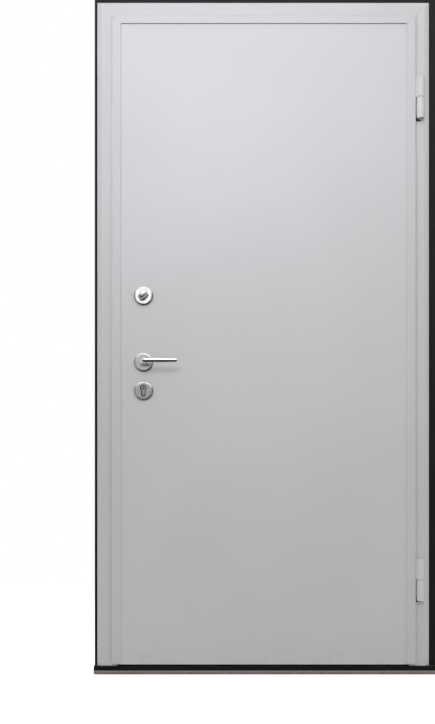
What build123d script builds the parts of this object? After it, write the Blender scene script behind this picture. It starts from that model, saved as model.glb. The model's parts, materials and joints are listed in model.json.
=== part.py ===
"""Steel security door in its frame: carcass, casing, lapped leaf, barrel hinges, lever, thumbturn and locks.

Millimetres. X is to the right, Y points away from the side the leaf opens to, Z is up.
The origin is on the underside of the threshold, midway along the casing and midway through the carcass.
"""
import os
from math import cos, radians, sin

from build123d import *

os.makedirs("parts", exist_ok=True)

# Sheet, folds and clearances
sheet = 2.0
fold_in = 2.0
edge_in = 0.5
casing_mitre = 0.4
band_mitre = 0.9
moving_gap = 5.0
lock_gap = 7.0
running = 0.05

# Casing round the opening
casing_half = 506.8
casing_top = 2049.6
casing_front = -52.0
casing_back = 52.0
flange = 62.0
flange_head = 62.0
bevel_wide = 15.0
bevel_deep = 6.5
rim_foot = 1.5
stop_front = -2.0
stop_deep = 20.0

# Carcass of box section behind the casing
carcass_wide = 30.0
carcass_wall = 3.0
carcass_in = 1.5
show_lock = 8.8
show_hinge = 23.2
show_head = 16.4
anchor_r = 6.0
anchor_mid = 1025.0
anchor_outer = 1450.0
anchor_inner = 490.0

# Threshold
threshold_top = 25.0
threshold_front = -57.0
threshold_wall = 3.0
threshold_in = 1.0
strip_high = 11.0
strip_deep = 5.0
strip_chamfer = 2.0
strip_short = 2.5
sill_stop_high = 18.0

# Sealing strips
seal_wide = 10.0
seal_inset = 5.0
seal_gap = 1.0

# Leaf
lap_lock = 15.2
lap_hinge = 19.7
lap_head = 16.0
band_high = 4.5
band_side = 28.5
band_top = 24.5
band_lift = 3.0
stile_wide = 40.0

# Hinges
barrel_r = 11.25
barrel_gap = 0.75
edge_gap = 2.65
hinge_drop = 250.6
hinge_rise = 257.5
knuckle_long = 62.8
knuckle_round = 2.0
washer_thick = 1.6
washer_inset = 2.5
pin_r = 6.0
pin_deep = 40.0
pin_end = 1.0
cap_thick = 8.0
foot_r = 8.5
foot_deep = 16.0
slot_below = 5.0
slot_above = 10.0
slot_wide = 16.0

# Lock furniture
lock_inset = 96.5
lever_z = 949.0
cylinder_drop = 86.8
thumb_z = 1151.0
rosette_r = 28.8
rosette_thick = 8.0
rosette_round = 5.0
hole_clear = 0.3

# Lever
neck_r = 11.5
neck_long = 14.0
spindle_side = 8.0
spindle_clear = 2.0
lever_stand = 50.0
lever_long = 108.5
lever_bend = 15.0
root_deep = 15.0
root_high = 13.4
tip_deep = 10.4
tip_high = 10.4
tip_round = 2.0

# Thumbturn
thumb_tilt = 38.0
thumb_stem_r = 6.0
thumb_stand = 26.0
thumb_long = 33.0
thumb_wide = 16.5
thumb_crown = 5.0
thumb_edge = 2.2
thumb_foot_r = 9.5
thumb_foot = 1.0
thumb_waist = 9.0
thumb_waist_long = 24.0
thumb_waist_wide = 15.0

# Key cylinder
plug_r = 8.5
tail_half = 5.0
profile_high = 33.0
profile_clear = 0.8
profile_show = 1.5
profile_sink = 3.0
key_wide = 2.6
key_high = 9.0
key_deep = 8.0

# Lock edge
forend_wide = 24.0
forend_long = 290.0
forend_short = 130.0
lock_below = 50.0
bolts_below = 110.0
latch_above = 20.0
bolt_count = 3
bolt_pitch = 46.0
bolt_r = 9.0
bolt_clear = 0.2
bolt_long = 45.0
latch_wide = 12.0
latch_high = 26.0
strike_clear = 1.5

# Places that follow from the sizes above
half = sheet / 2
fold_r = fold_in + half
edge_r = edge_in + half
reveal_lock = -casing_half + flange
reveal_hinge = casing_half - flange
reveal_head = casing_top - flange_head
stop_lock = reveal_lock + stop_deep
stop_hinge = reveal_hinge - stop_deep
stop_head = reveal_head - stop_deep
carcass_left = -casing_half - show_lock
carcass_right = casing_half + show_hinge
carcass_top = casing_top + show_head
carcass_front = casing_front + half + bevel_deep + rim_foot
carcass_back = casing_back - half - bevel_deep - rim_foot
carcass_mid = (carcass_front + carcass_back) / 2
carcass_deep = carcass_back - carcass_front
anchor_heights = [anchor_mid + k * span / 2 for span in (anchor_outer, anchor_inner) for k in (-1, 1)]
seal_thick = moving_gap - seal_gap
leaf_left = reveal_lock - lap_lock
leaf_right = reveal_hinge + lap_hinge
leaf_top = reveal_head + lap_head
leaf_bottom = threshold_top + moving_gap
face_back = casing_front - moving_gap
face_front = face_back - sheet
band_front = face_front - band_high
body_left = reveal_lock + lock_gap
body_right = reveal_hinge - moving_gap
body_top = reveal_head - moving_gap
body_back = stop_front - moving_gap
body_inner = body_back - sheet
body_mid = (face_back + body_back) / 2
hinge_x = leaf_right + edge_gap + barrel_r
hinge_y = casing_front - barrel_gap - barrel_r
hinge_heights = {"upper": leaf_top - hinge_drop, "lower": leaf_bottom + hinge_rise}
lock_x = leaf_left + lock_inset
rosette_front = face_front - rosette_thick
rosette_back = body_back + rosette_thick
cylinder_z = lever_z - cylinder_drop
plug_z = cylinder_z + profile_high / 2 - plug_r
tail_drop = profile_high - plug_r - tail_half
main_lock_z = lever_z - lock_below
latch_z = lever_z + latch_above
main_bolts = [lever_z - bolts_below + (i - (bolt_count - 1) / 2) * bolt_pitch for i in range(bolt_count)]
forends = {"main": (main_lock_z, forend_long, main_bolts), "upper": (thumb_z, forend_short, [thumb_z])}


def casing_line(outer, reveal, stop):
    """Middle line of the folded casing sheet, from its outer rim round the stop to the rim at the back."""
    s = 1.0 if reveal > outer else -1.0
    front = casing_front + half
    back = casing_back - half
    return [
        (outer + s * half, carcass_front),
        (outer + s * half, front + bevel_deep),
        (outer + s * bevel_wide, front),
        (reveal - s * half, front),
        (reveal - s * half, stop_front + half),
        (stop - s * half, stop_front + half),
        (stop - s * half, back),
        (outer + s * bevel_wide, back),
        (outer + s * half, back - bevel_deep),
        (outer + s * half, carcass_back),
    ]


casing_folds = [edge_r, fold_r, fold_r, fold_r, fold_r, fold_r, fold_r, edge_r]


def channel_line(edge, inner):
    """Middle line of an edge channel of the leaf, open towards the inside of the leaf."""
    s = 1.0 if inner > edge else -1.0
    return [
        (inner, face_back + half),
        (edge + s * half, face_back + half),
        (edge + s * half, body_inner - half),
        (inner, body_inner - half),
    ]


def band_line(outer, inner):
    """Middle line of a raised band, open towards the face sheet."""
    s = 1.0 if inner > outer else -1.0
    return [
        (outer + s * half, face_front),
        (outer + s * half, band_front + half),
        (inner - s * half, band_front + half),
        (inner - s * half, face_front),
    ]


def turned(points):
    """Swap the two places of each point, for a profile that runs across the door."""
    return [(b, a) for a, b in points]


def euro_profile(grown, mode=Mode.ADD):
    """Outline of the key cylinder: a round plug over a narrower tail with a round end."""
    with Locations((lock_x, plug_z)):
        Circle(plug_r + grown, mode=mode)
    with Locations((lock_x, plug_z - tail_drop / 2)):
        Rectangle(2 * (tail_half + grown), tail_drop, mode=mode)
    with Locations((lock_x, plug_z - tail_drop)):
        Circle(tail_half + grown, mode=mode)


# Carcass: two posts and a head beam of box section
for name, edge, s in (("lock_post", carcass_left, 1), ("hinge_post", carcass_right, -1)):
    with BuildPart() as post:
        with BuildSketch(Plane.XY.offset(threshold_top)):
            with Locations((edge + s * carcass_wide / 2, carcass_mid)):
                RectangleRounded(carcass_wide, carcass_deep, carcass_in + carcass_wall)
        extrude(amount=carcass_top - threshold_top)
        with BuildSketch(Plane.XY.offset(threshold_top)):
            with Locations((edge + s * carcass_wide / 2, carcass_mid)):
                RectangleRounded(carcass_wide - 2 * carcass_wall, carcass_deep - 2 * carcass_wall, carcass_in)
        extrude(amount=carcass_top - threshold_top - carcass_wall, mode=Mode.SUBTRACT)
        with BuildSketch(Plane.YZ.offset(edge)):
            with Locations([(carcass_mid, z) for z in anchor_heights]):
                Circle(anchor_r)
        extrude(amount=s * carcass_wide, mode=Mode.SUBTRACT)
    post.part.label = name
    export_step(post.part, f"parts/{name}.step")

with BuildPart() as head_beam:
    with BuildSketch(Plane.YZ.offset(carcass_left + carcass_wide)):
        with Locations((carcass_mid, carcass_top - carcass_wide / 2)):
            RectangleRounded(carcass_deep, carcass_wide, carcass_in + carcass_wall)
            RectangleRounded(
                carcass_deep - 2 * carcass_wall,
                carcass_wide - 2 * carcass_wall,
                carcass_in,
                mode=Mode.SUBTRACT,
            )
    extrude(amount=carcass_right - carcass_left - 2 * carcass_wide)
head_beam.part.label = "head_beam"
export_step(head_beam.part, "parts/head_beam.step")

# Threshold, its stop behind the leaf and the strip along its foot
with BuildPart() as threshold:
    with BuildSketch(Plane.YZ.offset(carcass_left)):
        with Locations(((threshold_front + casing_back) / 2, threshold_top / 2)):
            RectangleRounded(casing_back - threshold_front, threshold_top, threshold_in + threshold_wall)
            RectangleRounded(
                casing_back - threshold_front - 2 * threshold_wall,
                threshold_top - 2 * threshold_wall,
                threshold_in,
                mode=Mode.SUBTRACT,
            )
    extrude(amount=carcass_right - carcass_left)
threshold.part.label = "threshold"
export_step(threshold.part, "parts/threshold.step")

with BuildPart() as threshold_stop:
    with BuildSketch(Plane.YZ.offset(stop_lock)):
        with BuildLine():
            FilletPolyline(
                (stop_front + half, threshold_top),
                (stop_front + half, threshold_top + sill_stop_high - half),
                (carcass_back - half, threshold_top + sill_stop_high - half),
                (carcass_back - half, threshold_top),
                radius=fold_r,
            )
        trace(line_width=sheet)
    extrude(amount=stop_hinge - stop_lock)
threshold_stop.part.label = "threshold_stop"
export_step(threshold_stop.part, "parts/threshold_stop.step")

with BuildPart() as sill_strip:
    with BuildSketch(Plane.YZ.offset(carcass_left + strip_short)) as section:
        with Locations((threshold_front - strip_deep / 2, strip_high / 2)):
            Rectangle(strip_deep, strip_high)
        chamfer(section.vertices().group_by(Axis.Y)[-1].sort_by(Axis.X)[0], strip_chamfer)
    extrude(amount=carcass_right - carcass_left - 2 * strip_short)
sill_strip.part.label = "sill_strip"
export_step(sill_strip.part, "parts/sill_strip.step")

# Casing: folded sheet, mitred at the top corners, with the strikes let into the lock side
# and slots on the hinge side, under the foot of each barrel
for name, outer, reveal, stop, strikes, slots in (
    ("casing_lock_side", -casing_half, reveal_lock, stop_lock, forends, {}),
    ("casing_hinge_side", casing_half, reveal_hinge, stop_hinge, {}, hinge_heights),
):
    with BuildPart() as casing_side:
        with BuildSketch(Plane.XY.offset(threshold_top)):
            with BuildLine():
                FilletPolyline(*casing_line(outer, reveal, stop), radius=casing_folds)
            trace(line_width=sheet)
        extrude(amount=casing_top - threshold_top)
        with BuildSketch(Plane.XZ.offset(-casing_back)):
            with BuildLine():
                Polyline((outer, casing_top), (stop, stop_head), (stop, casing_top), close=True)
            make_face()
        extrude(amount=casing_back - casing_front, mode=Mode.SUBTRACT)
        for middle, tall, _ in strikes.values():
            with BuildSketch(Plane.YZ.offset(reveal)):
                with Locations((body_mid, middle)):
                    SlotOverall(tall, forend_wide, rotation=90)
            extrude(amount=-sheet, mode=Mode.SUBTRACT)
        for parting in slots.values():
            slot_foot = parting - knuckle_long - slot_below
            with BuildSketch(Plane.XZ.offset(-casing_front - sheet)):
                with Locations((leaf_right + slot_wide / 2, slot_foot + (slot_below + slot_above) / 2)):
                    RectangleRounded(slot_wide, slot_below + slot_above, edge_r)
            extrude(amount=sheet, mode=Mode.SUBTRACT)
    casing_side.part.label = name
    export_step(casing_side.part, f"parts/{name}.step")

with BuildPart() as casing_head:
    with BuildSketch(Plane.YZ.offset(-casing_half)):
        with BuildLine():
            FilletPolyline(*turned(casing_line(casing_top, reveal_head, stop_head)), radius=casing_folds)
        trace(line_width=sheet)
    extrude(amount=2 * casing_half)
    with BuildSketch(Plane.XZ.offset(-casing_back)):
        for outer, stop, s in ((-casing_half, stop_lock, 1), (casing_half, stop_hinge, -1)):
            with BuildLine():
                Polyline(
                    (outer, casing_top),
                    (outer + s * casing_mitre, casing_top),
                    (stop + s * casing_mitre, stop_head),
                    (outer, stop_head),
                    close=True,
                )
            make_face()
    extrude(amount=casing_back - casing_front, mode=Mode.SUBTRACT)
casing_head.part.label = "casing_head"
export_step(casing_head.part, "parts/casing_head.step")

# Sealing strips with a round crown, on the stop
for name, foot in (
    ("seal_lock_side", stop_lock - seal_inset - seal_wide),
    ("seal_hinge_side", stop_hinge + seal_inset),
):
    with BuildPart() as seal_side:
        with BuildSketch(Plane.XY.offset(threshold_top + sill_stop_high)):
            with BuildLine():
                Line((foot, stop_front), (foot + seal_wide, stop_front))
                ThreePointArc(
                    (foot, stop_front),
                    (foot + seal_wide / 2, stop_front - seal_thick),
                    (foot + seal_wide, stop_front),
                )
            make_face()
        extrude(amount=stop_head + seal_inset - threshold_top - sill_stop_high)
    seal_side.part.label = name
    export_step(seal_side.part, f"parts/{name}.step")

with BuildPart() as seal_head:
    with BuildSketch(Plane.YZ.offset(stop_lock - seal_inset - seal_wide)):
        with BuildLine():
            Line((stop_front, stop_head + seal_inset), (stop_front, stop_head + seal_inset + seal_wide))
            ThreePointArc(
                (stop_front, stop_head + seal_inset),
                (stop_front - seal_thick, stop_head + seal_inset + seal_wide / 2),
                (stop_front, stop_head + seal_inset + seal_wide),
            )
        make_face()
    extrude(amount=stop_hinge - stop_lock + 2 * (seal_inset + seal_wide))
seal_head.part.label = "seal_head"
export_step(seal_head.part, "parts/seal_head.step")

# Locks: a strike plate flush in the casing and a forend flush in the lock stile, with the bolts drawn back
for lock, (middle, tall, bolts) in forends.items():
    for kind, plane_x, depth, clear in (
        ("strike_plate", reveal_lock, -sheet, strike_clear),
        ("lock_forend", body_left, sheet, bolt_clear),
    ):
        name = f"{lock}_{kind}"
        with BuildPart() as plate:
            with BuildSketch(Plane.YZ.offset(plane_x)):
                with Locations((body_mid, middle)):
                    SlotOverall(tall, forend_wide, rotation=90)
                with Locations([(body_mid, z) for z in bolts]):
                    Circle(bolt_r + clear, mode=Mode.SUBTRACT)
                if lock == "main":
                    with Locations((body_mid, latch_z)):
                        Rectangle(latch_wide + 2 * clear, latch_high + 2 * clear, mode=Mode.SUBTRACT)
            extrude(amount=depth)
        plate.part.label = name
        export_step(plate.part, f"parts/{name}.step")

for name, bolts in (("main_lock_bolts", main_bolts), ("upper_lock_bolt", [thumb_z])):
    with BuildPart() as lock_bolts:
        with BuildSketch(Plane.YZ.offset(body_left)):
            with Locations([(body_mid, z) for z in bolts]):
                Circle(bolt_r)
        extrude(amount=bolt_long)
    lock_bolts.part.label = name
    export_step(lock_bolts.part, f"parts/{name}.step")

with BuildPart() as latch_bolt:
    with BuildSketch(Plane.YZ.offset(body_left)):
        with Locations((body_mid, latch_z)):
            Rectangle(latch_wide, latch_high)
    extrude(amount=bolt_long)
latch_bolt.part.label = "latch_bolt"
export_step(latch_bolt.part, "parts/latch_bolt.step")

# Hinges: the lower knuckle of each stands on the casing and is hollow at its foot, the upper one hangs on the leaf
for place, parting in hinge_heights.items():
    with BuildPart() as frame_knuckle:
        with BuildSketch(Plane.XY.offset(parting - knuckle_long)):
            with Locations((hinge_x, hinge_y)):
                Circle(barrel_r)
            with Locations((hinge_x, (hinge_y + casing_front) / 2)):
                Rectangle(barrel_r, casing_front - hinge_y)
        extrude(amount=knuckle_long)
        with BuildSketch(Plane.XY.offset(parting - pin_deep)):
            with Locations((hinge_x, hinge_y)):
                Circle(pin_r)
        extrude(amount=pin_deep, mode=Mode.SUBTRACT)
        with BuildSketch(Plane.XY.offset(parting - knuckle_long)):
            with Locations((hinge_x, hinge_y)):
                Circle(foot_r)
        extrude(amount=foot_deep, mode=Mode.SUBTRACT)
    frame_knuckle.part.label = f"{place}_frame_knuckle"
    export_step(frame_knuckle.part, f"parts/{place}_frame_knuckle.step")

    with BuildPart() as leaf_knuckle:
        with BuildSketch(Plane.XY.offset(parting + washer_thick)):
            with Locations((hinge_x, hinge_y)):
                Circle(barrel_r)
            with Locations(((leaf_right + hinge_x) / 2, (band_front + face_back) / 2)):
                Rectangle(hinge_x - leaf_right, face_back - band_front)
        extrude(amount=knuckle_long)
        with BuildSketch(Plane.XY.offset(parting + washer_thick)):
            with Locations((hinge_x, hinge_y)):
                Circle(pin_r + running)
        extrude(amount=knuckle_long - cap_thick, mode=Mode.SUBTRACT)
        fillet(leaf_knuckle.edges().filter_by(GeomType.CIRCLE).sort_by(Axis.Z)[-1], knuckle_round)
    leaf_knuckle.part.label = f"{place}_leaf_knuckle"
    export_step(leaf_knuckle.part, f"parts/{place}_leaf_knuckle.step")

with BuildPart() as hinge_pins:
    for parting in hinge_heights.values():
        with BuildSketch(Plane.XY.offset(parting - pin_deep)):
            with Locations((hinge_x, hinge_y)):
                Circle(pin_r)
        extrude(amount=pin_deep + washer_thick + knuckle_long - cap_thick - pin_end)
hinge_pins.part.label = "hinge_pins"
export_step(hinge_pins.part, "parts/hinge_pins.step")

with BuildPart() as hinge_washers:
    for parting in hinge_heights.values():
        with BuildSketch(Plane.XY.offset(parting)):
            with Locations((hinge_x, hinge_y)):
                Circle(barrel_r - washer_inset)
                Circle(pin_r, mode=Mode.SUBTRACT)
        extrude(amount=washer_thick - running)
hinge_washers.part.label = "hinge_washers"
export_step(hinge_washers.part, "parts/hinge_washers.step")

# Leaf: face sheet and back sheet, with the holes for the lock furniture
with BuildPart() as leaf_face_sheet:
    with BuildSketch(Plane.XZ.offset(-face_back)):
        with Locations(((leaf_left + leaf_right) / 2, (leaf_bottom + leaf_top) / 2)):
            Rectangle(leaf_right - leaf_left, leaf_top - leaf_bottom)
        with Locations((lock_x, lever_z)):
            Circle(spindle_side / 2 + spindle_clear + hole_clear, mode=Mode.SUBTRACT)
        with Locations((lock_x, thumb_z)):
            Circle(thumb_stem_r + hole_clear, mode=Mode.SUBTRACT)
        euro_profile(profile_clear, mode=Mode.SUBTRACT)
    extrude(amount=sheet)
leaf_face_sheet.part.label = "leaf_face_sheet"
export_step(leaf_face_sheet.part, "parts/leaf_face_sheet.step")

with BuildPart() as leaf_back_sheet:
    with BuildSketch(Plane.XZ.offset(-body_back)):
        with Locations(((body_left + body_right) / 2, (leaf_bottom + body_top) / 2)):
            Rectangle(body_right - body_left, body_top - leaf_bottom)
        with Locations((lock_x, lever_z)):
            Circle(spindle_side / 2 + spindle_clear + hole_clear, mode=Mode.SUBTRACT)
        euro_profile(profile_clear, mode=Mode.SUBTRACT)
    extrude(amount=sheet)
leaf_back_sheet.part.label = "leaf_back_sheet"
export_step(leaf_back_sheet.part, "parts/leaf_back_sheet.step")

# Edge channels of the leaf, with the forends let into the lock stile
for name, edge, s, cuts in (("lock_stile", body_left, 1, forends), ("hinge_stile", body_right, -1, {})):
    with BuildPart() as stile:
        with BuildSketch(Plane.XY.offset(leaf_bottom)):
            with BuildLine():
                FilletPolyline(*channel_line(edge, edge + s * stile_wide), radius=fold_r)
            trace(line_width=sheet)
        extrude(amount=body_top - leaf_bottom)
        for middle, tall, _ in cuts.values():
            with BuildSketch(Plane.YZ.offset(edge)):
                with Locations((body_mid, middle)):
                    SlotOverall(tall, forend_wide, rotation=90)
            extrude(amount=sheet, mode=Mode.SUBTRACT)
    stile.part.label = name
    export_step(stile.part, f"parts/{name}.step")

for name, edge, s in (("top_rail", body_top, -1), ("bottom_rail", leaf_bottom, 1)):
    with BuildPart() as rail:
        with BuildSketch(Plane.YZ.offset(body_left + stile_wide)):
            with BuildLine():
                FilletPolyline(*turned(channel_line(edge, edge + s * stile_wide)), radius=fold_r)
            trace(line_width=sheet)
        extrude(amount=body_right - body_left - 2 * stile_wide)
    rail.part.label = name
    export_step(rail.part, f"parts/{name}.step")

# Raised bands, mitred at the top corners
for name, outer, s in (("lock_side_band", leaf_left, 1), ("hinge_side_band", leaf_right, -1)):
    inner = outer + s * band_side
    with BuildPart() as band:
        with BuildSketch(Plane.XY.offset(leaf_bottom + band_lift)):
            with BuildLine():
                FilletPolyline(*band_line(outer, inner), radius=edge_r)
            trace(line_width=sheet)
        extrude(amount=leaf_top - leaf_bottom - band_lift)
        with BuildSketch(Plane.XZ.offset(-face_front)):
            with BuildLine():
                Polyline((outer, leaf_top), (inner, leaf_top - band_top), (inner, leaf_top), close=True)
            make_face()
        extrude(amount=band_high, mode=Mode.SUBTRACT)
    band.part.label = name
    export_step(band.part, f"parts/{name}.step")

with BuildPart() as top_band:
    with BuildSketch(Plane.YZ.offset(leaf_left)):
        with BuildLine():
            FilletPolyline(*turned(band_line(leaf_top, leaf_top - band_top)), radius=edge_r)
        trace(line_width=sheet)
    extrude(amount=leaf_right - leaf_left)
    with BuildSketch(Plane.XZ.offset(-face_front)):
        for outer, s in ((leaf_left, 1), (leaf_right, -1)):
            with BuildLine():
                Polyline(
                    (outer, leaf_top),
                    (outer + s * band_mitre, leaf_top),
                    (outer + s * (band_side + band_mitre), leaf_top - band_top),
                    (outer, leaf_top - band_top),
                    close=True,
                )
            make_face()
    extrude(amount=band_high, mode=Mode.SUBTRACT)
top_band.part.label = "top_band"
export_step(top_band.part, "parts/top_band.step")

# Rosettes: round covers with a soft shoulder, inside on the face sheet and outside on the back sheet
for name, middle, face, s, hole_r in (
    ("lever_rosette_inside", lever_z, face_front, -1, neck_r + hole_clear),
    ("lever_rosette_outside", lever_z, body_back, 1, neck_r + hole_clear),
    ("cylinder_rosette_inside", cylinder_z, face_front, -1, None),
    ("cylinder_rosette_outside", cylinder_z, body_back, 1, None),
    ("thumbturn_rosette", thumb_z, face_front, -1, thumb_stem_r + hole_clear),
):
    with BuildPart() as rosette:
        with BuildSketch(Plane.XZ.offset(-face)):
            with Locations((lock_x, middle)):
                Circle(rosette_r)
        extrude(amount=-s * rosette_thick)
        fillet(rosette.edges().sort_by(Axis.Y)[0 if s < 0 else -1], rosette_round)
        with BuildSketch(Plane.XZ.offset(-face)):
            if hole_r:
                with Locations((lock_x, middle)):
                    Circle(hole_r)
            else:
                euro_profile(profile_show)
        extrude(amount=-s * rosette_thick, mode=Mode.SUBTRACT)
    rosette.part.label = name
    export_step(rosette.part, f"parts/{name}.step")

# Key cylinder through the leaf, with a keyway at each end
with BuildPart() as lock_cylinder:
    with BuildSketch(Plane.XZ.offset(-(rosette_back - profile_sink))):
        euro_profile(0)
    extrude(amount=rosette_back - rosette_front - 2 * profile_sink)
    for keyway_y in (rosette_front + profile_sink + key_deep, rosette_back - profile_sink):
        with BuildSketch(Plane.XZ.offset(-keyway_y)):
            with Locations((lock_x, plug_z)):
                Rectangle(key_wide, key_high)
        extrude(amount=key_deep, mode=Mode.SUBTRACT)
lock_cylinder.part.label = "lock_cylinder"
export_step(lock_cylinder.part, "parts/lock_cylinder.step")

# Levers: a round neck that bends into a tapering oval grip
for name, face, s in (("lever_inside", face_front, -1), ("lever_outside", body_back, 1)):
    grip_y = face + s * lever_stand
    with BuildPart() as lever:
        with BuildSketch(Plane.XZ.offset(-face)):
            with Locations((lock_x, lever_z)):
                Circle(neck_r)
        extrude(amount=-s * neck_long)
        with BuildLine(Plane.XY.offset(lever_z)) as run:
            FilletPolyline(
                (lock_x, face + s * neck_long),
                (lock_x, grip_y),
                (lock_x + lever_long, grip_y),
                radius=lever_bend,
            )
        with BuildSketch(Plane.XZ.offset(-(face + s * neck_long))):
            with Locations((lock_x, lever_z)):
                Circle(neck_r)
        with BuildSketch(Plane.YZ.offset(lock_x + lever_bend)):
            with Locations((grip_y, lever_z)):
                Ellipse(root_deep / 2, root_high / 2)
        with BuildSketch(Plane.YZ.offset(lock_x + lever_long)):
            with Locations((grip_y, lever_z)):
                Ellipse(tip_deep / 2, tip_high / 2)
        sweep(path=run.line, multisection=True)
        fillet(lever.edges().sort_by(Axis.X)[-1], tip_round)
    lever.part.label = name
    export_step(lever.part, f"parts/{name}.step")

with BuildPart() as lever_spindle:
    with BuildSketch(Plane.XZ.offset(-body_back)):
        with Locations((lock_x, lever_z)):
            Rectangle(spindle_side, spindle_side)
    extrude(amount=body_back - face_front)
lever_spindle.part.label = "lever_spindle"
export_step(lever_spindle.part, "parts/lever_spindle.step")

# Thumbturn: a stem with a waisted oval wing, set at a slant
thumb_plane = Plane(
    origin=(lock_x, rosette_front, thumb_z),
    x_dir=(cos(radians(thumb_tilt)), 0, sin(radians(thumb_tilt))),
    z_dir=(0, -1, 0),
)
with BuildPart() as thumbturn_knob:
    with BuildSketch(Plane.XZ.offset(-body_mid)):
        with Locations((lock_x, thumb_z)):
            Circle(thumb_stem_r)
    extrude(amount=body_mid - rosette_front + thumb_waist)
    with BuildSketch(thumb_plane.offset(thumb_foot)):
        Circle(thumb_foot_r)
    with BuildSketch(thumb_plane.offset(thumb_waist)):
        Ellipse(thumb_waist_long / 2, thumb_waist_wide / 2)
    with BuildSketch(thumb_plane.offset(thumb_stand - thumb_crown)):
        Ellipse(thumb_long / 2, thumb_wide / 2)
    with BuildSketch(thumb_plane.offset(thumb_stand)):
        Ellipse(thumb_long / 2 - thumb_edge, thumb_wide / 2 - thumb_edge)
    loft()
thumbturn_knob.part.label = "thumbturn_knob"
export_step(thumbturn_knob.part, "parts/thumbturn_knob.step")
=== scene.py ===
"""Security door: the finishes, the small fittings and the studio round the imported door."""

import json
import math

import bpy
import numpy as np
from bpy.props import FloatProperty, FloatVectorProperty, IntProperty, PointerProperty
from bpy.types import Operator, Panel, PropertyGroup
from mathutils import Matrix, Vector


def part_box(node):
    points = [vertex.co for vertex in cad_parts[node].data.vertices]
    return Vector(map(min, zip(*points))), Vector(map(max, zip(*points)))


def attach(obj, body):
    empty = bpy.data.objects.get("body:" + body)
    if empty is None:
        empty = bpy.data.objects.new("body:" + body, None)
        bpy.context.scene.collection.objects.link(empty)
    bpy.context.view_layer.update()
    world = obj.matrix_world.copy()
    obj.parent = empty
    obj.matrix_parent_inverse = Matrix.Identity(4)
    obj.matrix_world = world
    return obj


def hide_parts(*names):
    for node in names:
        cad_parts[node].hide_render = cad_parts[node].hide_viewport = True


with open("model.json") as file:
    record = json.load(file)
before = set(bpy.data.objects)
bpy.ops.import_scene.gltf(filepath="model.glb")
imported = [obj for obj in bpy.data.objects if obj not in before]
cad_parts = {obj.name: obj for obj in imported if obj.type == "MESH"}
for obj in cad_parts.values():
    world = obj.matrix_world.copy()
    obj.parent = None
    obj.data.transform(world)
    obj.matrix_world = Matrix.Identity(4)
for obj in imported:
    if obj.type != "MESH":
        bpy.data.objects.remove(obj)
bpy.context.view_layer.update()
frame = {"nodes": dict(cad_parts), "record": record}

bl_info = {
    "name": "Security Door",
    "version": (1, 0, 0),
    "blender": (4, 5, 0),
    "location": "View3D > Sidebar > Security Door",
    "description": "Finishes, levers, thumbturn, key cylinder and screws of a steel security door, and its studio",
    "category": "Object",
}

NODES = frame["nodes"]
SLOT_OF = {row["node"]: row["material_slot"] for row in frame["record"]["subparts"]}

# Width of the camera's sensor in mm, and plain white.
SENSOR = 36.0
WHITE = (1.0, 1.0, 1.0)

# Colours of dust on the dark paint, old oil and painted shade on the key cylinder's sides and keyways, and brown stains
# on the sill strip.
DUST = (0.17, 0.16, 0.145)
OIL_AND_SHADE = (0.012, 0.011, 0.010)
STAIN = (0.185, 0.138, 0.118)

# Keyway: half width and half height, squareness, double bend and depth.
KEYWAY = (0.00105, 0.0042)
KEYWAY_SQUARE = 0.28
KEYWAY_BEND = 0.0004
KEYWAY_DEEP = 0.0065

# Collar round each end of the key cylinder: its width, its depth under the end and its thickness.
COLLAR_WIDE = 0.0021
COLLAR_DEEP = 0.0030
COLLAR_THICK = 0.0012

# Rows of one end of the key cylinder, as shares of the way outwards and heights: from the keyway to the plug's rim,
# where None stands for the plug's own height, and from there to the cylinder's outline.
PLUG_ROWS = (
    (0.0, -KEYWAY_DEEP), (0.0, -0.0002), (0.05, 0.0003), (0.12, None), (0.5, None), (0.94, None), (0.98, 0.0003),
    (1.0, 0.0),
)
END_ROWS = (
    (0.02, -0.0004), (0.15, -0.0004), (0.18, 0.0), (0.55, 0.0), (0.93, 0.0), (0.98, -0.0001), (1.0, -0.0005),
)

# Depths under the cylinder's ends between which the dark of old oil and painted shade gives way to bright steel.
OIL_AND_SHADE_EDGE = (0.0018, 0.0010)

# Thumbturn: where its dome starts, how far its waist draws in, its foot over the rosette, the stem in the leaf,
# and the shares of its height over which the wing grows and the waist draws in.
KNOB_DOME = 0.62
KNOB_WAIST = 0.22
KNOB_FOOT = 0.0012
STEM_DEEP = 0.02
KNOB_WING = (0.12, 0.72)
KNOB_NARROW = (0.0, 0.4)

# Lever: shares of its run, and there its half depth and half height over the neck's radius, its oval's power
# and its rise over the neck's radius; then the length of its tip and its distance from the leaf.
LEVER_STATIONS = (0.0, 0.10, 0.23, 0.40, 0.65, 1.0)
LEVER_DEEP = (0.97, 0.97, 0.86, 0.54, 0.46, 0.38)
LEVER_TALL = (0.97, 0.97, 0.84, 0.65, 0.60, 0.49)
LEVER_POWER = (2.0, 2.0, 1.9, 1.35, 1.25, 1.25)
LEVER_LIFT = (0.0, 0.0, 0.03, 0.13, 0.14, 0.14)
LEVER_TIP = 0.009
LEVER_CLEAR = 0.0006
# Easing of the lever's stations: the window that rounds them off, and the samples it runs over, past both ends.
LEVER_EASE = np.hanning(25) / np.hanning(25).sum()
LEVER_SAMPLES = 701
LEVER_MARGIN = 0.2

# Plate screw: how far its crown falls to the rim, the shares of its radius over which the slots of its cross fade
# at their sides and ends, and the depth and the share of the radius of its foot in the plate.
SCREW_FALL = 0.82
SCREW_SIDES = (0.09, 0.17)
SCREW_ENDS = (0.40, 0.62)
SCREW_FOOT = 0.0008
SCREW_FOOT_WIDE = 0.8

# Cards that metal shows: where the wall of cards behind the camera stands and half its width, then where the side
# cards start, their length and their top, and the steps of a card's grid.
CARD_WALL = -4.2
CARD_HALF = 5.0
SIDE_START = -3.2
SIDE_LONG = 2.9
SIDE_TOP = 2.6
CARD_STEPS = 8

# Floor: half its width, the distances between which it fades to white, and the steps of its grid.
FLOOR_HALF = 30.0
FLOOR_FADE = (1.2, 3.0)
FLOOR_STEPS = 24


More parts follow.
